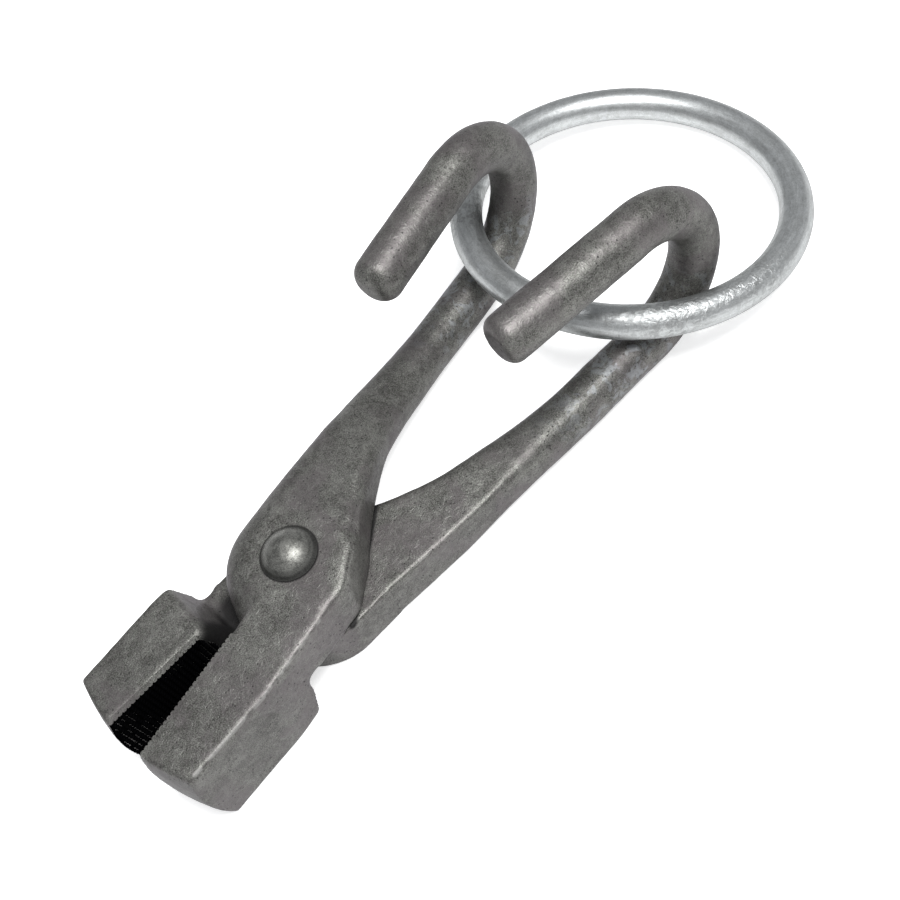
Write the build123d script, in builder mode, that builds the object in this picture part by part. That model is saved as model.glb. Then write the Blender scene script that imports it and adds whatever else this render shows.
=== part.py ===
from build123d import *
import math
import os

# Wire draw tongs: two forged halves lapped on one rivet, reins ending in upturned hooks, and a pull ring
# that lies through both hooks. Millimetres. The origin is on the rivet axis at the lap between the halves,
# +X runs from the jaws to the ring, +Y is the side of the upper half's rein, +Z is up.

# One half, measured with the jaws shut: the jaw lies on one side of the X axis and the rein on the other
jaw_reach = 61.0
jaw_bulge = 2.4
jaw_width = 19.0
jaw_tip_width = 15.9
jaw_waist = 33.5
half_thickness = 15.6
boss_radius = 20.2
open_angle = 10.1

# Shoulder where each jaw grows to its full height, beyond the other half's boss and sloped away from it
upper_shoulder_gap = 1.6
lower_shoulder_gap = 3.6
shoulder_slope = 4.3
shoulder_round = 2.6
grip_round = 3.0
shoulder_play = 0.6

# Gripping teeth: upright grooves cut across each jaw face
tooth_pitch = 1.45
tooth_crest = 0.25
tooth_depth = 0.6
grip_length = 36.0
jaw_play = 0.3

# Rein: a flat bar where it leaves the boss, tapering into a round rod
root_inner = -12.9
rod_offset = 17.95
rod_diameter = 14.2
rod_shoulder = 0.03
corner_play = 0.01
rein_splay = 1.4

# Stations along the rein, and how much of each change from the bar to the rod is reached at each of them.
# The reins lap each other as far as the third station, where the upper rein starts to drop between the
# bar and the bench. The lower rein keeps its crisp ridge beside the lap for longer than its other corners.
station_reach = (12.0, 24.5, 37.0, 50.0, 63.0, 76.0, 89.0, 102.0)
upper_inner_share = (0, 0.324, 0.568, 0.779, 0.897, 0.968, 0.994, 1)
lower_inner_share = (0, 0.387, 0.653, 0.792, 0.876, 0.952, 0.989, 1)
outer_share = (0, 0.18, 0.35, 0.50, 0.68, 0.86, 0.97, 1)
upper_top_share = (0, 0.13, 0.28, 0.505, 0.73, 0.906, 0.982, 1)
upper_base_share = (0, 0, 0, 0.41, 0.72, 0.90, 0.98, 1)
lower_base_share = (0, 0, 0, 0.08, 0.33, 0.70, 0.93, 1)
corner_share = (0, 0.05, 0.10, 0.52, 0.84, 0.97, 0.98, 1)
ridge_share = (0, 0.01, 0.04, 0.18, 0.55, 0.88, 0.98, 1)
flank_share = (0, 0.25, 0.50, 0.80, 1, 1, 1, 1)
lap_stations = 3

# Hooks: each rod turns up and back over itself
upper_hook_start = 108.6
upper_bend_radius = 24.5
upper_bend_turn = 182.0
upper_leg_length = 40.0
upper_leg_toe_in = 1.5
upper_tip_round = 5.0
lower_hook_start = 115.4
lower_bend_radius = 23.8
lower_bend_turn = 179.0
lower_leg_length = 43.0
lower_leg_toe_in = 2.6
lower_tip_round = 3.6
hook_lean = 1.4
toe_radius = 60.0

# Rounded edges: a worn ridge along each half, and broader rounds along the upper rein
ridge_round = 1.0
rein_round = 1.6
inner_round = 3.6
flank_round = 9.6

# Rivet: a domed head above, and an end upset flush in a countersink below
rivet_diameter = 9.0
head_diameter = 15.6
head_height = 4.8
upset_diameter = 13.6
upset_depth = 3.0
upset_recess = 0.1
upset_play = 0.3
rivet_play = 0.05
head_play = 0.1
lap_play = 0.1

# Pull ring: its near side stands a little off the rods, where it starts up the bends of the hooks, and
# its far side lies on the bench
ring_radius = 49.6
wire_diameter = 10.1
ring_reach = 148.9
ring_offset = 2.0
ring_lift = 2.5

# Values that follow from the sizes above
boss_base = lap_play / 2
rod_height = rod_diameter / 2 - half_thickness
rod_crown = rod_height + rod_diameter / 2
rod_base = rod_height - rod_diameter / 2
rod_corner = rod_diameter / 2 - corner_play
root_start = station_reach[0]
rod_start = station_reach[-1]
hole_radius = rivet_diameter / 2 + rivet_play
rod_spread = rod_offset + rod_start * math.tan(math.radians(open_angle / 2))
tooth_count = int(grip_length / tooth_pitch)
upset_angle = 2 * math.degrees(math.atan((upset_diameter - rivet_diameter) / 2 / upset_depth))


def on_level(height):
    """Test for edges that lie flat at one height."""
    return lambda edge: all(abs(vertex.Z - height) < 0.01 for vertex in edge.vertices())


def jaw_block(shoulder):
    """Jaw at its full height, with a barrelled end and a shoulder that clears the other half's boss."""
    far_end = -jaw_reach - 2 * jaw_bulge
    with BuildPart() as jaw:
        with BuildSketch(Plane.XY.offset(-half_thickness)):
            with BuildLine():
                Polyline(
                    (0, -jaw_play / 2),
                    (far_end, -jaw_play / 2),
                    (far_end, -jaw_tip_width),
                    (-jaw_waist, -jaw_width),
                    (0, -jaw_width),
                    close=True,
                )
            make_face()
        extrude(amount=2 * half_thickness)
        with BuildSketch(Plane.XZ):
            with BuildLine():
                ThreePointArc(
                    (-jaw_reach, -half_thickness),
                    (-jaw_reach - jaw_bulge, 0),
                    (-jaw_reach, half_thickness),
                )
                Polyline(
                    (-jaw_reach, half_thickness),
                    (0, half_thickness),
                    (0, -half_thickness),
                    (-jaw_reach, -half_thickness),
                )
            make_face()
        revolve(axis=Axis.Z, mode=Mode.INTERSECT)
        sole = jaw.edges().filter_by(on_level(-half_thickness)).filter_by(Axis.Y, reverse=True)
        fillet(sole.filter_by(lambda edge: edge.center().Y < -jaw_tip_width), ridge_round)
        with BuildSketch(Plane.XZ) as side:
            Polygon(
                (0, half_thickness),
                (0, boss_base),
                (-shoulder, boss_base),
                (-shoulder - shoulder_slope, -half_thickness),
                (far_end, -half_thickness),
                (far_end, half_thickness),
                align=None,
            )
            fillet(side.vertices().group_by(Axis.Y)[0].sort_by(Axis.X)[-1], shoulder_round)
        extrude(amount=jaw_width, mode=Mode.INTERSECT)
        grip_edges = jaw.edges().filter_by(lambda edge: abs(edge.center().Y + jaw_play / 2) < 0.01)
        fillet(grip_edges.filter_by(GeomType.CIRCLE), grip_round)
    return jaw.part


def boss_plate(root):
    """Boss in the half's own layer, from the root of the jaw to the root of the rein."""
    tangent_angle = math.acos(boss_radius / root)
    middle_angle = (tangent_angle + math.pi / 2) / 2
    tangent_point = (-boss_radius * math.cos(tangent_angle), boss_radius * math.sin(tangent_angle))
    arc_middle = (-boss_radius * math.cos(middle_angle), boss_radius * math.sin(middle_angle))
    with BuildPart() as boss:
        with BuildSketch(Plane.XY.offset(boss_base)):
            with BuildLine():
                ThreePointArc(tangent_point, arc_middle, (0, boss_radius))
                Polyline(
                    (0, boss_radius),
                    (root_start, boss_radius),
                    (root_start, root_inner),
                    (0, -jaw_width),
                    (-jaw_waist, -jaw_width),
                    (-jaw_waist, -jaw_play / 2),
                    (-root, -jaw_play / 2),
                    tangent_point,
                )
            make_face()
        extrude(amount=half_thickness - boss_base)
    return boss.part


def fit_rounds(width, height, rounds):
    """Rounds of a section's corners, eased where two of them would meet along one side."""
    base_inner, base_outer, top_inner, top_outer = rounds
    shares = (
        (width - 2 * corner_play) / (base_inner + base_outer),
        (width - 2 * corner_play) / (top_inner + top_outer),
        (height - 2 * corner_play) / (base_inner + top_inner),
        (height - 2 * corner_play) / (base_outer + top_outer),
    )
    return [size * min(1, *shares) for size in rounds]


def rein_bar(stations):
    """Part of a rein, lofted through its stations, each with a round for every corner of its section."""
    with BuildPart() as bar:
        for x, inner, outer, base, top, *rounds in stations:
            middle = (x, (inner + outer) / 2, (base + top) / 2)
            with BuildSketch(Plane(origin=middle, x_dir=(0, 1, 0), z_dir=(1, 0, 0))) as section:
                Rectangle(outer - inner, top - base)
                sizes = fit_rounds(outer - inner, top - base, rounds)
                for size, level, end in zip(sizes, (0, 0, -1, -1), (0, -1, 0, -1)):
                    fillet(section.vertices().group_by(Axis.Y)[level].sort_by(Axis.X)[end], size)
        loft()
    return bar.part


def hooked_rod(up, hook_start, bend_radius, bend_turn, leg_length, toe_in, tip_round):
    """Round rod swept along the rein, round the hook and back along its leg."""
    along = Vector(math.cos(math.radians(rein_splay)), math.sin(math.radians(rein_splay)), 0)
    outward = Vector(-along.Y, along.X, 0)
    lean = math.radians(hook_lean)
    rise = Vector(0, 0, up * math.cos(lean)) - outward * math.sin(lean)
    inward = along.cross(rise) * up
    start = Vector(rod_start, rod_offset, up * rod_height)
    bend_start = start + along * (hook_start - start.X)
    bend_middle = bend_start + rise * bend_radius

    def on_bend(turn):
        angle = math.radians(turn)
        return bend_middle + (along * math.sin(angle) - rise * math.cos(angle)) * bend_radius

    bend_end = on_bend(bend_turn)
    back = along * math.cos(math.radians(bend_turn)) + rise * math.sin(math.radians(bend_turn))

    def on_toe(turn):
        angle = math.radians(turn)
        return bend_end + (back * math.sin(angle) + inward * (1 - math.cos(angle))) * toe_radius

    toe_end = on_toe(toe_in)
    toe_angle = math.radians(toe_in)
    leg_end = toe_end + (back * math.cos(toe_angle) + inward * math.sin(toe_angle)) * leg_length
    with BuildPart() as rod:
        with BuildLine():
            Line(start, bend_start)
            ThreePointArc(bend_start, on_bend(bend_turn / 2), bend_end)
            ThreePointArc(bend_end, on_toe(toe_in / 2), toe_end)
            Line(toe_end, leg_end)
        with BuildSketch(Plane(origin=start, z_dir=(1, 0, 0))):
            Circle(rod_diameter / 2 + rod_shoulder)
        sweep()
        tip = rod.faces().sort_by_distance(leg_end)[0]
        fillet(tip.edges(), tip_round)
    return rod.part


def forge_half(up, shoulder, root, stations, hook, outer_round, upset):
    """One half: its own layer is above Z = 0, its jaw on the -Y side, and up is the way its hook turns."""
    with BuildPart() as half:
        add(jaw_block(shoulder))
        add(boss_plate(root))
        crown = half.edges().filter_by(on_level(half_thickness))
        fillet(crown.filter_by(lambda edge: edge.center().Y < root_inner), ridge_round)
        crown = half.edges().filter_by(on_level(half_thickness))
        fillet(crown.filter_by(lambda edge: edge.center().Y > rivet_diameter), outer_round)
        add(rein_bar(stations[:lap_stations]))
        add(rein_bar(stations[lap_stations - 1 :]))
        add(hooked_rod(up, *hook))
        with BuildSketch(Plane.XY.offset(-half_thickness)):
            with Locations((tooth_pitch * (tooth_count - 1) / 2 - jaw_reach, -jaw_play / 2)):
                with GridLocations(tooth_pitch, 0, tooth_count, 1):
                    Polygon(
                        ((tooth_crest - tooth_pitch) / 2, 0),
                        (0, -tooth_depth),
                        ((tooth_pitch - tooth_crest) / 2, 0),
                        align=None,
                    )
        extrude(amount=2 * half_thickness, mode=Mode.SUBTRACT)
        with Locations((0, 0, half_thickness)):
            if upset:
                CounterSinkHole(hole_radius, upset_diameter / 2 + upset_play, None, upset_angle)
            else:
                Hole(hole_radius)
    return half.part


def share_out(first, last, shares):
    """Values between the first and the last, one for each share of the change."""
    return [first + (last - first) * share for share in shares]


# Stations along each rein: reach, inner side, outer side, base, top, and the rounds at the base's inner and
# outer corners and at the top's inner and outer corners
rod_inner = rod_offset - rod_diameter / 2
rod_outer = rod_offset + rod_diameter / 2
upper_stations = list(
    zip(
        station_reach,
        share_out(root_inner, rod_inner, upper_inner_share),
        share_out(boss_radius, rod_outer, outer_share),
        share_out(boss_base, rod_base, upper_base_share),
        share_out(half_thickness, rod_crown, upper_top_share),
        share_out(rein_round, rod_corner, corner_share),
        share_out(rein_round, rod_corner, corner_share),
        share_out(inner_round, rod_corner, corner_share),
        share_out(flank_round, rod_corner, flank_share),
    )
)
lower_stations = list(
    zip(
        station_reach,
        share_out(root_inner, rod_inner, lower_inner_share),
        share_out(boss_radius, rod_outer, outer_share),
        share_out(boss_base, -rod_crown, lower_base_share),
        [half_thickness] * len(station_reach),
        share_out(rein_round, rod_corner, corner_share),
        share_out(ridge_round, rod_corner, ridge_share),
        share_out(rein_round, rod_corner, corner_share),
        share_out(rein_round, rod_corner, corner_share),
    )
)
upper_hook = (
    upper_hook_start,
    upper_bend_radius,
    upper_bend_turn,
    upper_leg_length,
    upper_leg_toe_in,
    upper_tip_round,
)
lower_hook = (
    lower_hook_start,
    lower_bend_radius,
    lower_bend_turn,
    lower_leg_length,
    lower_leg_toe_in,
    lower_tip_round,
)

# Each shoulder stands beyond the other half's boss, and each jaw's root just clears the other's shoulder
upper_shoulder = boss_radius + upper_shoulder_gap
lower_shoulder = boss_radius + lower_shoulder_gap
upper_root = lower_shoulder - shoulder_play
lower_root = upper_shoulder - shoulder_play

# Upper half: jaw on the -Y side, rein on the +Y side, turned open by half of the opening
with BuildPart() as upper_half:
    add(
        forge_half(1, upper_shoulder, upper_root, upper_stations, upper_hook, flank_round, False),
        rotation=(0, 0, open_angle / 2),
    )

# Lower half: the same forging turned over about the X axis, with its hook turned up as well
with BuildPart() as lower_half:
    turned = forge_half(-1, lower_shoulder, lower_root, lower_stations, lower_hook, ridge_round, True)
    add(turned.rotate(Axis.X, 180), rotation=(0, 0, -open_angle / 2))

# Rivet: domed head on the upper half, shank through both, and its end upset into the lower half
with BuildPart() as pivot_rivet:
    head_seat = half_thickness + head_play
    upset_end = -half_thickness + upset_recess
    with BuildSketch(Plane.XZ):
        with BuildLine():
            dome_radius = ((head_diameter / 2) ** 2 + head_height**2) / (2 * head_height)
            RadiusArc((head_diameter / 2, head_seat), (0, head_seat + head_height), -dome_radius)
            Polyline(
                (0, head_seat + head_height),
                (0, upset_end),
                (upset_diameter / 2, upset_end),
                (rivet_diameter / 2, upset_end + upset_depth),
                (rivet_diameter / 2, head_seat),
                (head_diameter / 2, head_seat),
            )
        make_face()
    revolve(axis=Axis.Z)

# Pull ring: tilted so that its far side lies on the bench
near_height = rod_crown + wire_diameter / 2 + ring_lift
bench_height = -half_thickness + wire_diameter / 2
near_reach = math.sqrt(ring_radius**2 - rod_spread**2)
ring_slope = math.asin((near_height - bench_height) / (ring_radius + near_reach))
ring_plane = Plane(
    origin=(ring_reach, ring_offset, bench_height + ring_radius * math.sin(ring_slope)),
    x_dir=(math.cos(ring_slope), 0, -math.sin(ring_slope)),
    z_dir=(math.sin(ring_slope), 0, math.cos(ring_slope)),
)
wire_middle = ring_plane.origin + ring_plane.x_dir * ring_radius
with BuildPart() as pull_ring:
    with BuildSketch(Plane(origin=wire_middle, x_dir=ring_plane.x_dir, z_dir=(0, 1, 0))):
        Circle(wire_diameter / 2)
    revolve(axis=Axis(ring_plane.origin, ring_plane.z_dir))

os.makedirs("parts", exist_ok=True)
upper_half.part.label = "upper_half"
export_step(upper_half.part, "parts/upper_half.step")
lower_half.part.label = "lower_half"
export_step(lower_half.part, "parts/lower_half.step")
pivot_rivet.part.label = "pivot_rivet"
export_step(pivot_rivet.part, "parts/pivot_rivet.step")
pull_ring.part.label = "pull_ring"
export_step(pull_ring.part, "parts/pull_ring.step")
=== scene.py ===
"""Wire draw tongs: two forged halves on a rivet, with a zinc wire pull ring through their hooks.

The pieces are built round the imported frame. The frame is in metres, and sizes named in millimetres are
turned into metres where they are used.
"""

import math
from collections import namedtuple

import bmesh
import bpy
from mathutils import Matrix, Vector, noise


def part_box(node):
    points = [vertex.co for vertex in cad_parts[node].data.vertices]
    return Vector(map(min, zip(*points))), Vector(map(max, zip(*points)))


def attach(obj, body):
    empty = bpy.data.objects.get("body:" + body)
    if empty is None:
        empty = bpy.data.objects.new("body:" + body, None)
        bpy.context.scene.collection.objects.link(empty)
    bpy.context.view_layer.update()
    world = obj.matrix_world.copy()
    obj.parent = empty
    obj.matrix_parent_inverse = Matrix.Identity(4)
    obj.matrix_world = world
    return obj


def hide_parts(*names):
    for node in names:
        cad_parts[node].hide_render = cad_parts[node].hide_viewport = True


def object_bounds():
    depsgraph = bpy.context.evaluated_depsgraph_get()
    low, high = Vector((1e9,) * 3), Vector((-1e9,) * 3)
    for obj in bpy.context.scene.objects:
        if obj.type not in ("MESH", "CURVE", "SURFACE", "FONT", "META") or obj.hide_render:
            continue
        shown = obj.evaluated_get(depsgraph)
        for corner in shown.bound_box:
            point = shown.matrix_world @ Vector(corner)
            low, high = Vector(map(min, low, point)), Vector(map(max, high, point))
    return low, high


bl_info = {
    "name": "Wire draw tongs",
    "version": (1, 0, 0),
    "blender": (4, 5, 0),
    "location": "View3D > Sidebar > Tongs",
    "description": "Forged draw tongs with serrated jaws and a wire pull ring",
    "category": "Add Mesh",
}

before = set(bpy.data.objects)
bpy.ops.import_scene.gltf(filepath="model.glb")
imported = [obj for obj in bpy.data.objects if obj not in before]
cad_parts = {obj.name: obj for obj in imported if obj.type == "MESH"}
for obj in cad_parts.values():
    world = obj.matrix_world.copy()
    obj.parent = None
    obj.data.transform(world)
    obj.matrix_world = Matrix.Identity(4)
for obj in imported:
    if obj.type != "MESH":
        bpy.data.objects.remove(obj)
CAD_BOX = [list(corner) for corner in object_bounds()]
RING_LOW, RING_HIGH = (Vector(corner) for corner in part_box("pull_ring"))
RIVET_LOW, RIVET_HIGH = (Vector(corner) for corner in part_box("pivot_rivet"))
MM = 0.001

# Each half is drawn shut, in millimetres, with its own layer upwards, its jaw on the -Y side and its rein on
# the +Y side. It stands open by this angle, and the lower half is turned over.
HALF_OPENING = math.radians(5.05)
HALF_THICKNESS = 15.6

# The jaw: its reach from the rivet and the bulge of its end, and how its shoulder slopes and rounds off
JAW_REACH = 61.0
JAW_BULGE = 2.4
SHOULDER_SLOPE = 4.3
SHOULDER_ROUND = 3.0

# The gripping face: where it starts on the half's own layer, the crests, floor and back of its teeth behind
# the middle line, its height, and how far it ends short of the jaw
GRIP_START = 24.6
FACE_CREST = 0.17
FACE_FLOOR = 0.85
FACE_BACK = 2.2
FACE_HEIGHT = 31.14
FACE_INSET = 0.1

# The cells that one tooth is drawn in, and the height its flanks would reach if its crest weren't worn flat
TOOTH_CELLS = 4
CREST_WEAR = 1.15

# Where the two halves lie on each other, and where the rivet's head sits
LAP_END = 45.0
LAP_CLEAR = 1.0
SEAT_RADIUS = 9.5

# A ridge's wear is marked out to this many of its half widths, and an edge that is eased takes this many
# rounds for each square millimetre of its reach
RIDGE_FADE = 3.0
EASE_ROUNDS = 2

# Where the rods are scaled and pitted below the hooks: from the first reach to the second, and less from the
# first height to the second
SHANK_START = 66.0
SHANK_END = 96.0
SHANK_LOW = 2.0
SHANK_HIGH = 14.0

# The foot of the rivet's head on the upper half
FOOT_RADIUS = 7.7
FOOT_STEPS = 32
RIVET_FOOT = [
    (
        FOOT_RADIUS * math.cos(step * math.tau / FOOT_STEPS),
        FOOT_RADIUS * math.sin(step * math.tau / FOOT_STEPS),
        HALF_THICKNESS,
    )
    for step in range(FOOT_STEPS + 1)
]

# One half: 1 for the upper side and -1 for the lower, the reach of its shoulder, then as places in its
# drawing the line of its worn ridge, the edges that the forging left softer (two places, how far to ease, and
# if heights change with it), and the corners and seams darkened as painted shade (a line, and how far it
# spreads)
Half = namedtuple("Half", "side shoulder ridge soft_edges grime")
UPPER = Half(
    side=1,
    shoulder=21.8,
    ridge=((-57.0, -16.0, 15.25), (-33.5, -18.7, 15.25), (-7.0, -18.8, 15.25)),
    soft_edges=(
        ((-21.8, -19.5, 0.0), (-21.8, -14.0, 0.0), 4.0, True),
        ((-4.0, -19.0, HALF_THICKNESS), (14.0, -12.0, HALF_THICKNESS), 5.0, True),
        ((-60.5, -1.0, HALF_THICKNESS), (-60.5, -15.5, HALF_THICKNESS), 2.2, True),
        ((-57.0, -16.2, HALF_THICKNESS), (-6.0, -19.0, HALF_THICKNESS), 2.4, True),
    ),
    # Painted shade round the foot of the rivet's head
    grime=((RIVET_FOOT, 0.8),),
)
LOWER = Half(
    side=-1,
    shoulder=23.8,
    ridge=((8.0, 20.1, 0.35), (24.5, 20.8, 0.35), (37.0, 21.6, 0.35), (45.0, 21.9, 0.35)),
    soft_edges=(
        ((-23.8, -19.5, 0.0), (-23.8, -14.0, 0.0), 4.0, True),
        ((-60.5, -1.0, -HALF_THICKNESS), (-60.5, -15.5, -HALF_THICKNESS), 1.6, True),
        ((-28.5, -0.8, -16.0), (-23.8, -0.8, 0.0), 5.0, False),
    ),
    # Painted shade: the recess behind the rear jaw's shoulder, and the seam where the upper half lies on this
    # one
    grime=(
        (((-19.5, -9.0, 0.0), (-24.0, -2.5, 0.0), (-28.0, -1.0, -10.0)), 9.0),
        (((28.1, -2.3, 0.0), (-1.1, 19.7, 0.0)), 2.0),
    ),
)

# The hammer's swells: the shares of the broad and the small ones, how much closer the small ones lie, and
# where their noise is taken from
BROAD_SWELL = 0.75
SMALL_SWELL = 0.4
SMALL_CLOSER = 3.3
SMALL_SHIFT = Vector((7, 3, 5))

# The steps round the rivet and over its dome, the width of the hammer's marks on it and where their noise is
# taken from, and the sharpest edge that is still shaded smooth
RIVET_STEPS = 96
DOME_STEPS = 24
MARK_WIDTH = 4.5 * MM
MARK_SHIFT = Vector((2, 9, 4))
RIVET_SHARP = math.radians(40)

# Thickness of the ring's wire in the CAD, the steps round the ring and round its wire, and the width of the
# zinc's unevenness
CAD_WIRE = 10.1 * MM
RING_STEPS = 300
WIRE_STEPS = 48
UNEVEN_WIDTH = 3 * MM

# Where the ring is rubbed by the hooks, and more weakly in front: degrees round it from its far side, and how
# far the rubbing spreads
HOOK_TURN = 132
HOOK_SPREAD = 16
FRONT_TURN = -100
FRONT_SPREAD = 18
FRONT_SHARE = 0.8

# The floor's reach in metres, and the gap that keeps it clear of the tongs
FLOOR_REACH = 4.0
FLOOR_GAP = 0.02 * MM

# The camera's right and down as directions in the frame
CAMERA_RIGHT = Vector((0.6300, -0.7465, -0.2142)).normalized()
CAMERA_DOWN = Vector((-0.7324, -0.4793, -0.4836)).normalized()


def to_drawing(side):
    """Matrix from the frame to the drawing of the half on that side."""
    turned_over = Matrix.Rotation(0 if side == 1 else math.pi, 4, "X")
    return Matrix.Scale(1 / MM, 4) @ turned_over @ Matrix.Rotation(-side * HALF_OPENING, 4, "Z")


def link_mesh(name, mesh):
    piece = bpy.data.objects.new(name, mesh)
    bpy.context.scene.collection.objects.link(piece)
    return piece


def mesh_from(name, bm):
    mesh = bpy.data.meshes.new(name)
    bm.to_mesh(mesh)
    bm.free()
    return mesh


def shade_smooth(mesh):
    mesh.polygons.foreach_set("use_smooth", [True] * len(mesh.polygons))


def apply_modifiers(piece):
    """Works the piece's modifiers into its mesh."""
    graph = bpy.context.evaluated_depsgraph_get()
    mesh = bpy.data.meshes.new_from_object(piece.evaluated_get(graph))
    piece.modifiers.clear()
    old = piece.data
    piece.data = mesh
    mesh.name = piece.name
    bpy.data.meshes.remove(old)


def spin(bm, profile, steps):
    """Sweeps a profile once round the upright line through the origin."""
    bmesh.ops.spin(
        bm, geom=profile, axis=(0, 0, 1), cent=(0, 0, 0), steps=steps, angle=math.tau, use_merge=True
    )


def smooth(bm, verts, rounds, heights=True):
    """Eases the skin round by round, in plan only where heights stay."""
    axes = {"use_axis_x": True, "use_axis_y": True, "use_axis_z": heights}
    for _ in range(rounds):
        bmesh.ops.smooth_vert(bm, verts=verts, factor=0.5, **axes)


def distance_to_line(point, line):
    """Distance from a point to a line of points."""
    best = math.inf
    for start, end in zip(line, line[1:]):
        share = (point - start).dot(end - start) / (end - start).length_squared
        best = min(best, (point - start.lerp(end, max(0.0, min(1.0, share)))).length)
    return best


def rise_between(value, low, high):
    """Rises smoothly from 0 to 1 between low and high."""
    share = max(0.0, min(1.0, (value - low) / (high - low)))
    return share * share * (3 - 2 * share)


class Value:
    """A shader value that plain arithmetic can be written with."""

    def __init__(self, finish, socket):
        self.finish = finish
        self.socket = socket

    def _math(self, operation, first, second=None):
        values = {0: first} if second is None else {0: first, 1: second}
        return self.finish.node("ShaderNodeMath", {"operation": operation}, values).value(0)

    def __add__(self, other):
        return self._math("ADD", self, other)

    def __sub__(self, other):
        return self._math("SUBTRACT", self, other)

    def __rsub__(self, other):
        return self._math("SUBTRACT", other, self)

    def __mul__(self, other):
        return self._math("MULTIPLY", self, other)

    def __truediv__(self, other):
        return self._math("DIVIDE", self, other)

    def __abs__(self):
        return self._math("ABSOLUTE", self)

    __radd__ = __add__
    __rmul__ = __mul__

    def root(self):
        return self._math("SQRT", self)

    def higher(self, other):
        return self._math("MAXIMUM", self, other)

    def ramp(self, low, high, first=0.0, last=1.0):
        """Rises smoothly from first to last between low and high."""
        settings = {"interpolation_type": "SMOOTHSTEP"}
        values = {0: self, 1: low, 2: high, 3: first, 4: last}
        return self.finish.node("ShaderNodeMapRange", settings, values).value(0)


class Made:
    """A node with its outputs as values."""

    def __init__(self, finish, node):
        self.finish = finish
        self.node = node

    def value(self, output):
        return Value(self.finish, self.node.outputs[output])


class Finish:
    """A material under construction."""

    def __init__(self, name):
        self.material = bpy.data.materials.new(name)
        self.material.use_nodes = True
        self.tree = self.material.node_tree
        self.tree.nodes.clear()
        self.place = self.node("ShaderNodeTexCoord").value("Object")

    def node(self, kind, settings=None, values=None):
        """Adds a node: its settings first, then the values or links of its sockets."""
        made = self.tree.nodes.new(kind)
        for name, setting in (settings or {}).items():
            setattr(made, name, setting)
        for socket, value in (values or {}).items():
            if isinstance(value, Value):
                self.tree.links.new(value.socket, made.inputs[socket])
            else:
                made.inputs[socket].default_value = value
        return Made(self, made)

    def grain(self, size_mm, detail=2.0, roughness=0.5, distortion=0.0, place=None):
        """Noise from 0 to 1 with features of about that size."""
        values = {
            "Vector": place or self.place,
            "Scale": 1 / (size_mm * MM),
            "Detail": detail,
            "Roughness": roughness,
            "Distortion": distortion,
        }
        return self.node("ShaderNodeTexNoise", None, values).value("Fac")

    def spots(self, spacing_mm):
        """Distance from the nearest of scattered points, in steps of their spacing."""
        values = {"Vector": self.place, "Scale": 1 / (spacing_mm * MM)}
        return self.node("ShaderNodeTexVoronoi", None, values).value("Distance")

    def shifted(self, *shift):
        """Object coordinates moved, so that a second noise differs from the first."""
        return self.node("ShaderNodeMapping", None, {"Vector": self.place, "Location": shift}).value("Vector")

    def attribute(self, name):
        return self.node("ShaderNodeAttribute", {"attribute_name": name}).value("Fac")

    def mix(self, share, first, second):
        values = {0: share, 6: first, 7: second}
        return self.node("ShaderNodeMix", {"data_type": "RGBA"}, values).value(2)

    def bump(self, height, depth_mm, normal=None):
        values = {"Height": height, "Distance": depth_mm * MM}
        if normal is not None:
            values["Normal"] = normal
        return self.node("ShaderNodeBump", None, values).value("Normal")

    def surface(self, **sockets):
        """Ends the material in one shader with these values, named as its sockets with underscores."""
        values = {name.replace("_", " "): value for name, value in sockets.items()}
        shader = self.node("ShaderNodeBsdfPrincipled", None, values).value("BSDF")
        self.node("ShaderNodeOutputMaterial", None, {"Surface": shader})
        return self.material


def rgba(colour):
    return (*colour, 1.0)


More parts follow.
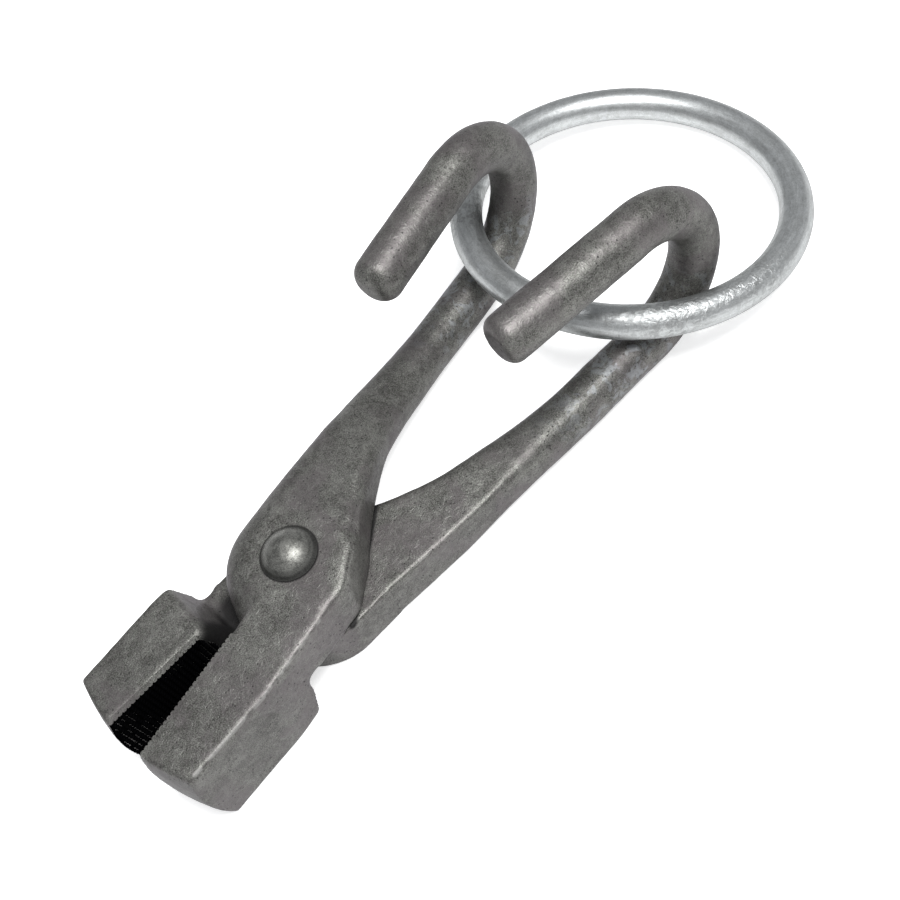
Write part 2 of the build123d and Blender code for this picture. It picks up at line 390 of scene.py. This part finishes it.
def forged_steel(colours):
    """Dark forged skin: mottled and finely pitted, crumpled by the hammer, with a ridge worn bright, painted
    highlight along its wrinkles and painted shade in its recesses and seams.
    """
    finish = Finish("forged_skin")
    mottle = finish.grain(12.0, 3.0, 0.55)
    cloud = finish.grain(2.8, 4.0, 0.6, 0.6)
    speckle = finish.grain(0.34, 3.0, 0.65)
    crumple = finish.grain(3.4, 3.0, 0.5, 1.2, finish.shifted(0.02, 0.05, 0.01))
    wrinkles = abs(crumple - 0.5).ramp(0.004, 0.05, 1.0, 0.0) * cloud.ramp(0.44, 0.60)
    pit_field = finish.grain(8.0, 2.0, 0.6, 0.0, finish.shifted(0.3, 0.1, 0.2)).ramp(0.38, 0.56)
    pits = finish.spots(1.5).ramp(0.09, 0.24, 1.0, 0.0) * pit_field
    shank = finish.attribute("shank")
    craters = finish.spots(2.6).ramp(0.10, 0.26, 1.0, 0.0) * shank
    scale = shank * finish.grain(4.2, 4.0, 0.65, 0.8, finish.shifted(0.1, 0.4, 0.2)).ramp(0.50, 0.60)
    holes = pits.higher(craters * 0.5)
    breaks = finish.grain(5.0, 3.0, 0.6, 0.0, finish.shifted(0.5, 0.2, 0.3)).ramp(0.38, 0.58, 0.1, 1.0)
    gap = (1 - finish.attribute("ridge")) * RIDGE_FADE + (speckle - 0.5) * 1.1 + (cloud - 0.5) * 0.8
    wear = gap.ramp(0.55, 1.35, 1.0, 0.0) * breaks
    tone = (mottle * 0.18 + cloud * 0.22 + speckle * 0.60).ramp(0.38, 0.64)
    skin = finish.mix(tone, rgba(colours.skin_dark), rgba(colours.skin_light))
    broad_tint = finish.grain(16.0, 2.0, 0.5, 0.4, finish.shifted(0.7, 0.3, 0.1)).ramp(0.44, 0.62)
    fine_tint = finish.grain(0.6, 2.0, 0.6, 0.0, finish.shifted(0.2, 0.6, 0.4)).ramp(0.46, 0.58)
    skin = finish.mix(broad_tint * 0.45 + fine_tint * 0.35, skin, rgba(colours.skin_tint))
    # Painted highlight: paler lines along the crumpled wrinkles
    skin = finish.mix(wrinkles * 0.15, skin, rgba(colours.wrinkle_highlight_colour))
    skin = finish.mix(scale * 0.45, skin, rgba(colours.scale_colour))
    skin = finish.mix(holes * 0.75, skin, rgba(colours.pit_colour))
    skin = finish.mix(wear * 0.34, skin, rgba(colours.ridge_colour))
    # Painted shade: darker in the recess behind the jaw's shoulder, along the seam between the halves and
    # round the rivet's foot
    grime = (finish.attribute("grime") + (cloud - 0.5) * 0.3).ramp(0.05, 0.75)
    skin = finish.mix(grime * 0.9, skin, rgba(colours.painted_shade_colour))
    relief = finish.bump(cloud, 0.12)
    relief = finish.bump(wrinkles, 0.026, relief)
    relief = finish.bump(speckle, 0.022, relief)
    relief = finish.bump(1 - holes, 0.035, relief)
    return finish.surface(
        Base_Color=skin,
        Metallic=0.62,
        Roughness=speckle * 0.20 + holes * 0.15 + grime * 0.2 + wear * 0.14 + 0.355,
        Specular_Tint=rgba(colours.skin_edge),
        Normal=relief,
    )


def tooth_steel(colours):
    """The cut teeth: nearly black in the grooves, dark oxide darkened further as painted shade of the gap
    between the jaws, and a little paler on some of their crests.
    """
    finish = Finish("cut_teeth")
    crest = finish.attribute("crest").ramp(0.84, 1.0) * finish.grain(0.8, 3.0, 0.7).ramp(0.58, 0.70)
    # Painted shade: the face is kept near black and without specular, standing for the shade in the gap
    # between the jaws; the grooves are partly dark oxide
    colour = finish.mix(crest, rgba(colours.groove_oxide_and_shade), rgba(colours.crest_colour))
    relief = finish.bump(finish.grain(0.2, 2.0, 0.6), 0.02)
    return finish.surface(
        Base_Color=colour,
        Metallic=crest * 0.5,
        Roughness=0.8 - crest * 0.3,
        Specular_IOR_Level=0.0,
        Normal=relief,
    )


def rivet_steel(colours):
    """The rivet: the forged skin rubbed smooth, with faint rings left by the set and painted shade towards
    the edge of its head.
    """
    finish = Finish("rubbed_rivet")
    cloud = finish.grain(2.4, 4.0, 0.6)
    speckle = finish.grain(0.30, 3.0, 0.6)
    values = {0: finish.place, 1: (1, 1, 0)}
    flat = finish.node("ShaderNodeVectorMath", {"operation": "MULTIPLY"}, values).value(0)
    radius = finish.node("ShaderNodeVectorMath", {"operation": "LENGTH"}, {0: flat}).value("Value")
    values = {"W": radius, "Scale": 1 / (0.5 * MM)}
    rings = finish.node("ShaderNodeTexNoise", {"noise_dimensions": "1D"}, values).value("Fac")
    # Painted shade: the head darkens towards its edge, in the pits' colour
    rim = (radius + (cloud - 0.5) * (1.5 * MM)).ramp(5.4 * MM, 7.8 * MM)
    tone = (cloud * 0.45 + speckle * 0.40 + rings * 0.15).ramp(0.36, 0.62)
    skin = finish.mix(tone, rgba(colours.rivet_dark), rgba(colours.rivet_light))
    skin = finish.mix(rim * 0.70, skin, rgba(colours.pit_colour))
    relief = finish.bump(rings, 0.008)
    relief = finish.bump(cloud, 0.06, relief)
    relief = finish.bump(speckle, 0.022, relief)
    return finish.surface(Base_Color=skin, Metallic=0.75, Roughness=speckle * 0.22 + 0.31, Normal=relief)


def zinc_wire(colours, ring):
    """Bright zinc with a fine grain along the wire, and scuffs where the hooks rub it."""
    finish = Finish("drawn_zinc")
    settings = {"vector_type": "TEXTURE"}
    values = {"Vector": finish.place, "Location": tuple(ring.centre), "Rotation": (0, ring.slope, 0)}
    level = finish.node("ShaderNodeMapping", settings, values).value("Vector")
    parts = finish.node("ShaderNodeSeparateXYZ", None, {0: level})
    across, along, height = parts.value("X"), parts.value("Y"), parts.value("Z")
    radius = (across * across + along * along).root()
    streak_length = 5 * MM
    values = {"X": radius, "Y": height, "Z": across / radius * streak_length}
    streak_place = finish.node("ShaderNodeCombineXYZ", None, values).value("Vector")
    values = {
        "Vector": streak_place,
        "W": along / radius * streak_length,
        "Scale": 1 / (0.7 * MM),
        "Detail": 3.0,
        "Roughness": 0.6,
    }
    streaks = finish.node("ShaderNodeTexNoise", {"noise_dimensions": "4D"}, values).value("Fac")
    grain = finish.grain(0.30, 3.0, 0.65)
    crinkle = finish.grain(1.6, 4.0, 0.6, 0.8)
    cloud = finish.grain(9.0, 3.0, 0.6)
    rubbed = finish.attribute("rubbed")
    scuffs = (cloud.ramp(0.50, 0.66) * 0.6 + rubbed) * crinkle.ramp(0.42, 0.60)
    tone = (streaks * 0.30 + grain * 0.40 + crinkle * 0.30).ramp(0.34, 0.66)
    metal = finish.mix(tone, rgba(colours.zinc_dark), rgba(colours.zinc_light))
    metal = finish.mix(scuffs.ramp(0.0, 1.0) * 0.55, metal, rgba(colours.zinc_scuff))
    relief = finish.bump(streaks, 0.020)
    relief = finish.bump(crinkle * (rubbed * 3.5 + 0.6), 0.10, relief)
    relief = finish.bump(grain, 0.018, relief)
    return finish.surface(
        Base_Color=metal,
        Metallic=0.92,
        Roughness=grain * 0.18 + scuffs * 0.10 + 0.31,
        Specular_Tint=rgba(colours.zinc_edge),
        Normal=relief,
    )


def colour_property(name, description, colour):
    return bpy.props.FloatVectorProperty(name=name, description=description, subtype="COLOR", default=colour)


class TongsColours(bpy.types.PropertyGroup):
    skin_dark: colour_property("Dark skin", "Darker tone of the forged skin", (0.046, 0.046, 0.041))
    skin_light: colour_property("Light skin", "Lighter tone of the forged skin", (0.205, 0.207, 0.190))
    skin_tint: colour_property("Heat tint", "Faint tint left by the heat", (0.118, 0.106, 0.108))
    skin_edge: colour_property("Skin at a slant", "Tint of the skin's gloss at a slant", (0.40, 0.39, 0.42))
    # Painted highlight along the wrinkles
    wrinkle_highlight_colour: colour_property("Wrinkles", "Rubbed edges of the crumpled skin", (0.22, 0.22, 0.21))
    scale_colour: colour_property("Scale", "Pale patches of scale on the rods", (0.26, 0.275, 0.29))
    # Painted shade for the recesses, the seam between the halves and the rivet's foot
    painted_shade_colour: colour_property("Painted shade", "Soot and grease in the corners", (0.012, 0.012, 0.012))
    pit_colour: colour_property("Pits", "Colour inside the pits", (0.018, 0.018, 0.018))
    ridge_colour: colour_property("Worn ridge", "Colour of the ridges worn bright", (0.50, 0.495, 0.48))
    # Dark oxide, darkened further as painted shade of the gap between the jaws
    groove_oxide_and_shade: colour_property("Tooth grooves", "Colour between the teeth", (0.0015, 0.0015, 0.0018))
    crest_colour: colour_property("Tooth crests", "Colour of the worn crests", (0.032, 0.032, 0.036))
    rivet_dark: colour_property("Dark rivet", "Darker tone of the rivet", (0.080, 0.080, 0.074))
    rivet_light: colour_property("Light rivet", "Lighter tone of the rivet", (0.215, 0.215, 0.20))
    zinc_dark: colour_property("Dark zinc", "Darker grain of the zinc", (0.30, 0.308, 0.306))
    zinc_light: colour_property("Light zinc", "Lighter grain of the zinc", (0.55, 0.568, 0.572))
    zinc_scuff: colour_property("Scuffed zinc", "Dull places rubbed by the hooks", (0.17, 0.172, 0.168))
    zinc_edge: colour_property("Zinc at a slant", "Tint of the zinc's gloss at a slant", (0.48, 0.48, 0.48))


class TongsForging(bpy.types.PropertyGroup):
    cell: bpy.props.FloatProperty(
        name="Skin cell",
        description="Size of the cells that the forged skin is drawn in",
        default=0.5 * MM,
        unit="LENGTH",
    )
    rounds: bpy.props.IntProperty(
        name="Softening", description="How many times the forged edges are eased", default=3, min=0
    )
    swell: bpy.props.FloatProperty(
        name="Hammered swell",
        description="Depth of the broad swells left by the forging",
        default=0.13 * MM,
        unit="LENGTH",
    )
    swell_width: bpy.props.FloatProperty(
        name="Swell width", description="Width of one broad swell", default=10 * MM, unit="LENGTH"
    )
    tooth_pitch: bpy.props.FloatProperty(
        name="Tooth pitch",
        description="Distance from one tooth to the next, both ways",
        default=1.45 * MM,
        unit="LENGTH",
    )
    upper_ridge_width: bpy.props.FloatProperty(
        name="Jaw ridge",
        description="Half the width of the upper jaw's worn ridge",
        default=0.55 * MM,
        unit="LENGTH",
    )
    lower_ridge_width: bpy.props.FloatProperty(
        name="Rein ridge",
        description="Half the width of the lower rein's worn ridge",
        default=0.26 * MM,
        unit="LENGTH",
    )


class TongsRing(bpy.types.PropertyGroup):
    centre: bpy.props.FloatVectorProperty(
        name="Centre",
        description="Middle of the ring",
        default=(RING_LOW + RING_HIGH) / 2,
        unit="LENGTH",
    )
    radius: bpy.props.FloatProperty(
        name="Radius",
        description="Radius to the middle of the wire",
        default=(RING_HIGH.y - RING_LOW.y - CAD_WIRE) / 2,
        unit="LENGTH",
    )
    wire: bpy.props.FloatProperty(
        name="Wire", description="Thickness of the wire", default=10.04 * MM, unit="LENGTH"
    )
    slope: bpy.props.FloatProperty(
        name="Slope",
        description="Slope of the ring down to the bench",
        default=math.asin((RING_HIGH.z - RING_LOW.z - CAD_WIRE) / (RING_HIGH.y - RING_LOW.y - CAD_WIRE)),
        subtype="ANGLE",
    )
    uneven: bpy.props.FloatProperty(
        name="Unevenness", description="Depth of the zinc's unevenness", default=0.04 * MM, unit="LENGTH"
    )


class TongsRivet(bpy.types.PropertyGroup):
    shank: bpy.props.FloatProperty(
        name="Shank", description="Thickness of the shank", default=9.0 * MM, unit="LENGTH"
    )
    head_height: bpy.props.FloatProperty(
        name="Head height", description="Height of the domed head", default=4.8 * MM, unit="LENGTH"
    )
    rim: bpy.props.FloatProperty(
        name="Rim", description="Round at the edge of the head", default=0.35 * MM, unit="LENGTH"
    )
    upset: bpy.props.FloatProperty(
        name="Upset end", description="Width of the flush end underneath", default=13.6 * MM, unit="LENGTH"
    )
    upset_depth: bpy.props.FloatProperty(
        name="Upset depth", description="Depth of the flush end underneath", default=3.0 * MM, unit="LENGTH"
    )
    facets: bpy.props.FloatProperty(
        name="Hammer marks",
        description="Depth of the hammer marks on the head",
        default=0.16 * MM,
        unit="LENGTH",
    )


class TongsStage(bpy.types.PropertyGroup):
    camera_place: bpy.props.FloatVectorProperty(
        name="Camera",
        description="Where the camera stands",
        default=(-0.03244, -0.15818, 0.27692),
        unit="LENGTH",
    )
    lens: bpy.props.FloatProperty(name="Lens", description="Focal length in millimetres", default=46.904)
    floor_colour: colour_property("Floor", "Colour of the pale floor", (0.80, 0.80, 0.80))
    floor_glow: bpy.props.FloatProperty(
        name="Floor glow", description="How much the floor is lifted towards white", default=0.62
    )
    sky_colour: colour_property("Room", "Colour of the light from all round", (0.95, 0.97, 1.0))
    sky: bpy.props.FloatProperty(
        name="Room light", description="Strength of the light from all round", default=0.42
    )
    key_place: bpy.props.FloatVectorProperty(
        name="Key lamp", description="Where the large lamp hangs", default=(0.13, -0.165, 0.68), unit="LENGTH"
    )
    key_size: bpy.props.FloatProperty(
        name="Key size", description="Width of the large lamp", default=0.34, unit="LENGTH"
    )
    key_power: bpy.props.FloatProperty(
        name="Key power", description="Power of the large lamp", default=7.0, unit="POWER"
    )
    side_place: bpy.props.FloatVectorProperty(
        name="Side lamp",
        description="Where the side lamp stands",
        default=(-0.45, -0.35, 0.45),
        unit="LENGTH",
    )
    side_size: bpy.props.FloatProperty(
        name="Side size", description="Width of the side lamp", default=0.5, unit="LENGTH"
    )
    side_power: bpy.props.FloatProperty(
        name="Side power", description="Power of the side lamp", default=0.35, unit="POWER"
    )


class TongsSizes(bpy.types.PropertyGroup):
    forging: bpy.props.PointerProperty(type=TongsForging)
    rivet: bpy.props.PointerProperty(type=TongsRivet)
    ring: bpy.props.PointerProperty(type=TongsRing)
    colours: bpy.props.PointerProperty(type=TongsColours)
    stage: bpy.props.PointerProperty(type=TongsStage)


def grip_start(own_z, shoulder):
    """Reach at which the gripping face starts, at a height of the half's drawing."""
    if own_z > 0:
        return GRIP_START
    return shoulder - SHOULDER_SLOPE * own_z / HALF_THICKNESS + SHOULDER_ROUND


def grip_end(own_z):
    """Reach at which the gripping face ends, at a height of the half's drawing."""
    return JAW_REACH + JAW_BULGE * (1 - (own_z / HALF_THICKNESS) ** 2)


def merged_copy(node):
    """The CAD node's mesh with its loose triangles joined."""
    bm = bmesh.new()
    bm.from_mesh(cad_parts[node].data)
    bmesh.ops.remove_doubles(bm, verts=bm.verts, dist=0.002 * MM)
    return bm


def fill_grooves(bm, half):
    """Brings the gripping face back to the floor of its teeth, which a toothed face then covers."""
    drawing = to_drawing(half.side)
    frame_place = drawing.inverted()
    for vert in bm.verts:
        own = drawing @ vert.co
        if -own.x > grip_start(own.z, half.shoulder) and -own.y < FACE_FLOOR:
            own.y = -FACE_FLOOR
            vert.co = frame_place @ own


def tooth_height(distance, pitch):
    """Height of a row of teeth, from 0 in a groove to 1 on a crest that is worn a little flat."""
    return min(1.0, CREST_WEAR * (1 - abs(2 * (distance / pitch % 1) - 1)))


def toothed_face(name, half, pitch):
    """A slab with teeth cut across it both ways, let into the jaw behind its gripping face."""
    step = pitch / MM / TOOTH_CELLS
    columns = round((JAW_REACH + JAW_BULGE - GRIP_START) / step)
    rows = round(FACE_HEIGHT / step)
    bm = bmesh.new()
    crest = bm.verts.layers.float.new("crest")
    bmesh.ops.create_grid(bm, x_segments=columns, y_segments=rows, size=0.5)
    on_jaw = set()
    for vert in bm.verts:
        along = GRIP_START + (vert.co.x + 0.5) * columns * step
        up = vert.co.y * rows * step
        reach = max(grip_start(up, half.shoulder), min(grip_end(up) - FACE_INSET, along))
        if reach == along:
            on_jaw.add(vert)
        vert[crest] = min(tooth_height(reach - GRIP_START, pitch / MM), tooth_height(up, pitch / MM))
        vert.co = (-reach, (FACE_FLOOR - FACE_CREST) * vert[crest] - FACE_FLOOR, up)
    past_jaw = [face for face in bm.faces if on_jaw.isdisjoint(face.verts)]
    bmesh.ops.delete(bm, geom=past_jaw, context="FACES")
    bmesh.ops.remove_doubles(bm, verts=bm.verts, dist=0.01)
    toothed = set(bm.faces)
    back = bmesh.ops.extrude_face_region(bm, geom=bm.faces[:])["geom"]
    for element in back:
        if isinstance(element, bmesh.types.BMVert):
            element.co.y = -FACE_BACK
    for face in bm.faces:
        face.material_index = int(face in toothed)
    bmesh.ops.transform(bm, matrix=to_drawing(half.side).inverted(), verts=bm.verts)
    bmesh.ops.recalc_face_normals(bm, faces=bm.faces)
    return link_mesh(name, mesh_from(name, bm))


def swell(bm, corners, sizes):
    """Moves the skin in and out by the hammer's swells, but not out of its box or into its neighbours."""
    low, high = corners
    moves = []
    for vert in bm.verts:
        broad = noise.noise(vert.co / sizes.swell_width)
        small = noise.noise(vert.co / sizes.swell_width * SMALL_CLOSER + SMALL_SHIFT)
        lift = (BROAD_SWELL * broad + SMALL_SWELL * small) * sizes.swell
        x, y, z = vert.co / MM
        if (abs(z) < LAP_CLEAR and x < LAP_END) or math.hypot(x, y) < SEAT_RADIUS:
            lift = min(0.0, lift)
        moves.append(vert.normal * lift)
    for vert, move in zip(bm.verts, moves):
        place = vert.co + move
        vert.co = [max(low[axis], min(high[axis], place[axis])) for axis in range(3)]


def forge(node, half, ridge_width, sizes):
    """A half from its CAD mesh: eased and swelled by the hammer, with its ridge, shank and painted shade
    marked.
    """
    bm = merged_copy(node)
    fill_grooves(bm, half)
    name = node + "_forging"
    piece = link_mesh(name, mesh_from(name, bm))
    skin = piece.modifiers.new("skin", "REMESH")
    skin.mode = "VOXEL"
    skin.voxel_size = sizes.cell
    apply_modifiers(piece)
    bm = bmesh.new()
    bm.from_mesh(piece.data)
    drawing = to_drawing(half.side)
    for *ends, reach, heights in half.soft_edges:
        line = [Vector(end) for end in ends]
        near = [vert for vert in bm.verts if distance_to_line(drawing @ vert.co, line) < reach]
        smooth(bm, near, round(EASE_ROUNDS * reach**2), heights)
    smooth(bm, bm.verts, sizes.rounds)
    bm.normal_update()
    swell(bm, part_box(node), sizes)
    ridge_line = [Vector(place) for place in half.ridge]
    painted_shade_lines = [([Vector(place) for place in line], spread) for line, spread in half.grime]
    ridges = []
    shanks = []
    painted_shade_values = []
    for vert in bm.verts:
        own = drawing @ vert.co
        ridges.append(max(0.0, 1 - distance_to_line(own, ridge_line) * MM / ridge_width / RIDGE_FADE))
        low_down = 1 - rise_between(vert.co.z / MM, SHANK_LOW, SHANK_HIGH)
        shanks.append(rise_between(own.x, SHANK_START, SHANK_END) * low_down)
        shares = [distance_to_line(own, line) / spread for line, spread in painted_shade_lines]
        painted_shade_values.append(max(1 - rise_between(share, 0, 1) for share in shares))
    bm.to_mesh(piece.data)
    bm.free()
    for layer, values in (("ridge", ridges), ("shank", shanks), ("grime", painted_shade_values)):
        piece.data.attributes.new(layer, "FLOAT", "POINT").data.foreach_set("value", values)
    shade_smooth(piece.data)
    return piece


def finish_half(node, body, half, ridge_width):
    """Makes a half and its teeth, gives them their steel and lets them ride their body."""
    sizes = bpy.context.scene.tongs
    skin = bpy.data.materials.get("forged_skin") or forged_steel(sizes.colours)
    cut = bpy.data.materials.get("cut_teeth") or tooth_steel(sizes.colours)
    forging = forge(node, half, ridge_width, sizes.forging)
    face = toothed_face(node + "_teeth", half, sizes.forging.tooth_pitch)
    forging.data.materials.append(skin)
    face.data.materials.append(skin)
    face.data.materials.append(cut)
    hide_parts(node)
    for piece in (forging, face):
        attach(piece, body)


class TONGS_OT_upper_half(bpy.types.Operator):
    """Forge the upper half and cut its teeth"""

    bl_idname = "tongs.upper_half"
    bl_label = "Upper half"

    def execute(self, context):
        finish_half("upper_half", "upper", UPPER, context.scene.tongs.forging.upper_ridge_width)
        return {"FINISHED"}


class TONGS_OT_lower_half(bpy.types.Operator):
    """Forge the lower half and cut its teeth"""

    bl_idname = "tongs.lower_half"
    bl_label = "Lower half"

    def execute(self, context):
        finish_half("lower_half", "lower", LOWER, context.scene.tongs.forging.lower_ridge_width)
        return {"FINISHED"}


class TONGS_OT_rivet(bpy.types.Operator):
    """Turn the rivet and mark its head with the hammer"""

    bl_idname = "tongs.rivet"
    bl_label = "Rivet"

    def execute(self, context):
        sizes = context.scene.tongs.rivet
        head = RIVET_HIGH.x
        top = RIVET_HIGH.z
        seat = top - sizes.head_height
        dome = (head**2 + sizes.head_height**2) / (2 * sizes.head_height)
        outline = []
        last_angle = math.asin((head - sizes.rim / 2) / dome)
        for step in range(DOME_STEPS + 1):
            angle = last_angle * step / DOME_STEPS
            outline.append((dome * math.sin(angle), top - dome * (1 - math.cos(angle))))
        # The round at the edge of the head, its seat, the shank and the countersunk end
        outline += [
            (head - 0.12 * sizes.rim, seat + 0.30 * sizes.rim),
            (head - 0.30 * sizes.rim, seat + 0.06 * sizes.rim),
            (head - sizes.rim, seat),
            (sizes.shank / 2, seat),
            (sizes.shank / 2, RIVET_LOW.z + sizes.upset_depth),
            (sizes.upset / 2, RIVET_LOW.z),
            (0, RIVET_LOW.z),
        ]
        bm = bmesh.new()
        verts = [bm.verts.new((x, 0, z)) for x, z in outline]
        edges = [bm.edges.new(pair) for pair in zip(verts, verts[1:])]
        spin(bm, verts + edges, RIVET_STEPS)
        bmesh.ops.remove_doubles(bm, verts=bm.verts, dist=0.001 * MM)
        bmesh.ops.recalc_face_normals(bm, faces=bm.faces)
        for vert in bm.verts:
            if vert.co.z > seat + sizes.rim / 2:
                mark = noise.noise(vert.co / MARK_WIDTH + MARK_SHIFT)
                vert.co.z -= sizes.facets * (0.5 + 0.5 * mark)
        rivet = link_mesh("set_rivet", mesh_from("set_rivet", bm))
        rivet.data.materials.append(rivet_steel(context.scene.tongs.colours))
        shade_smooth(rivet.data)
        rivet.data.set_sharp_from_angle(angle=RIVET_SHARP)
        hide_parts("pivot_rivet")
        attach(rivet, "rivet")
        return {"FINISHED"}


class TONGS_OT_ring(bpy.types.Operator):
    """Bend the pull ring from its wire"""

    bl_idname = "tongs.ring"
    bl_label = "Pull ring"

    def execute(self, context):
        sizes = context.scene.tongs.ring
        level = Matrix.Translation(sizes.centre) @ Matrix.Rotation(sizes.slope, 4, "Y")
        stand = Matrix.Translation((sizes.radius, 0, 0)) @ Matrix.Rotation(math.radians(90), 4, "X")
        bm = bmesh.new()
        wire = bmesh.ops.create_circle(bm, segments=WIRE_STEPS, radius=sizes.wire / 2, matrix=stand)
        spin(bm, wire["verts"] + bm.edges[:], RING_STEPS)
        bmesh.ops.recalc_face_normals(bm, faces=bm.faces)
        bm.normal_update()
        rubbed = []
        moves = []
        for vert in bm.verts:
            turn = math.degrees(math.atan2(vert.co.y, vert.co.x))
            by_hooks = math.exp(-(((abs(turn) - HOOK_TURN) / HOOK_SPREAD) ** 2))
            in_front = math.exp(-(((turn - FRONT_TURN) / FRONT_SPREAD) ** 2))
            rubbed.append(max(by_hooks, FRONT_SHARE * in_front))
            moves.append(vert.normal * -sizes.uneven * (0.5 + 0.5 * noise.noise(vert.co / UNEVEN_WIDTH)))
        for vert, move in zip(bm.verts, moves):
            vert.co += move
        bmesh.ops.transform(bm, matrix=level, verts=bm.verts)
        ring = link_mesh("wire_ring", mesh_from("wire_ring", bm))
        ring.data.attributes.new("rubbed", "FLOAT", "POINT").data.foreach_set("value", rubbed)
        ring.data.materials.append(zinc_wire(context.scene.tongs.colours, sizes))
        shade_smooth(ring.data)
        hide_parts("pull_ring")
        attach(ring, "ring")
        return {"FINISHED"}


def lamp(name, place, size, power):
    """A round lamp aimed at the middle of the tongs."""
    middle = (Vector(CAD_BOX[0]) + Vector(CAD_BOX[1])) / 2
    data = bpy.data.lights.new(name, "AREA")
    data.shape = "DISK"
    data.size = size
    data.energy = power
    made = bpy.data.objects.new(name, data)
    made.location = place
    made.rotation_euler = (middle - Vector(place)).to_track_quat("-Z", "Y").to_euler()
    bpy.context.scene.collection.objects.link(made)


def pale_floor(colour, glow):
    """Floor that shows white where the light reaches it and keeps the object's shadow."""
    finish = Finish("pale_floor")
    matt = finish.node("ShaderNodeBsdfDiffuse", None, {"Color": rgba(colour)}).value(0)
    lift = finish.node("ShaderNodeEmission", None, {"Color": (1, 1, 1, 1), "Strength": glow}).value(0)
    both = finish.node("ShaderNodeAddShader", None, {0: matt, 1: lift}).value(0)
    path = finish.node("ShaderNodeLightPath")
    seen = path.value("Is Camera Ray").higher(path.value("Is Glossy Ray"))
    seen = seen.higher(path.value("Is Transmission Ray"))
    shown = finish.node("ShaderNodeMixShader", None, {0: seen, 1: matt, 2: both}).value(0)
    finish.node("ShaderNodeOutputMaterial", None, {"Surface": shown})
    return finish.material


class TONGS_OT_stage(bpy.types.Operator):
    """Set up the floor, the lamps, the room light and the camera"""

    bl_idname = "tongs.stage"
    bl_label = "Stage"

    def execute(self, context):
        scene = context.scene
        sizes = scene.tongs.stage
        bm = bmesh.new()
        bmesh.ops.create_grid(bm, x_segments=1, y_segments=1, size=FLOOR_REACH)
        bmesh.ops.translate(bm, verts=bm.verts, vec=(0, 0, CAD_BOX[0][2] - FLOOR_GAP))
        floor = link_mesh("floor", mesh_from("floor", bm))
        floor.data.materials.append(pale_floor(sizes.floor_colour, sizes.floor_glow))

        lamp("key_lamp", sizes.key_place, sizes.key_size, sizes.key_power)
        lamp("side_lamp", sizes.side_place, sizes.side_size, sizes.side_power)

        world = bpy.data.worlds.new("room")
        world.use_nodes = True
        background = world.node_tree.nodes["Background"]
        background.inputs["Color"].default_value = rgba(sizes.sky_colour)
        path = world.node_tree.nodes.new("ShaderNodeLightPath")
        strength = world.node_tree.nodes.new("ShaderNodeMapRange")
        strength.inputs["To Min"].default_value = sizes.sky
        strength.inputs["To Max"].default_value = 1.0
        world.node_tree.links.new(path.outputs["Is Camera Ray"], strength.inputs["Value"])
        world.node_tree.links.new(strength.outputs["Result"], background.inputs["Strength"])
        scene.world = world

        ahead = CAMERA_RIGHT.cross(CAMERA_DOWN)
        data = bpy.data.cameras.new("camera")
        data.lens = sizes.lens
        data.sensor_width = 36
        data.clip_start = 0.01
        camera = bpy.data.objects.new("camera", data)
        turn = Matrix((CAMERA_RIGHT, -CAMERA_DOWN, -ahead)).transposed().to_4x4()
        camera.matrix_world = Matrix.Translation(sizes.camera_place) @ turn
        scene.collection.objects.link(camera)
        scene.camera = camera
        scene.view_settings.view_transform = "Standard"
        return {"FINISHED"}


class TONGS_PT_sidebar(bpy.types.Panel):
    """The tongs' pieces, in the order they are made"""

    bl_idname = "TONGS_PT_sidebar"
    bl_label = "Wire draw tongs"
    bl_space_type = "VIEW_3D"
    bl_region_type = "UI"
    bl_category = "Tongs"

    def draw(self, context):
        for operator in OPERATORS:
            self.layout.operator(operator.bl_idname)


OPERATORS = (
    TONGS_OT_upper_half,
    TONGS_OT_lower_half,
    TONGS_OT_rivet,
    TONGS_OT_ring,
    TONGS_OT_stage,
)
CLASSES = (
    TongsColours,
    TongsForging,
    TongsRing,
    TongsRivet,
    TongsStage,
    TongsSizes,
    *OPERATORS,
    TONGS_PT_sidebar,
)


def register():
    for cls in CLASSES:
        bpy.utils.register_class(cls)
    bpy.types.Scene.tongs = bpy.props.PointerProperty(type=TongsSizes)


def unregister():
    del bpy.types.Scene.tongs
    for cls in reversed(CLASSES):
        bpy.utils.unregister_class(cls)


def main():
    register()
    for area, name in (operator.bl_idname.split(".") for operator in OPERATORS):
        getattr(getattr(bpy.ops, area), name)()


if __name__ == "__main__":
    main()
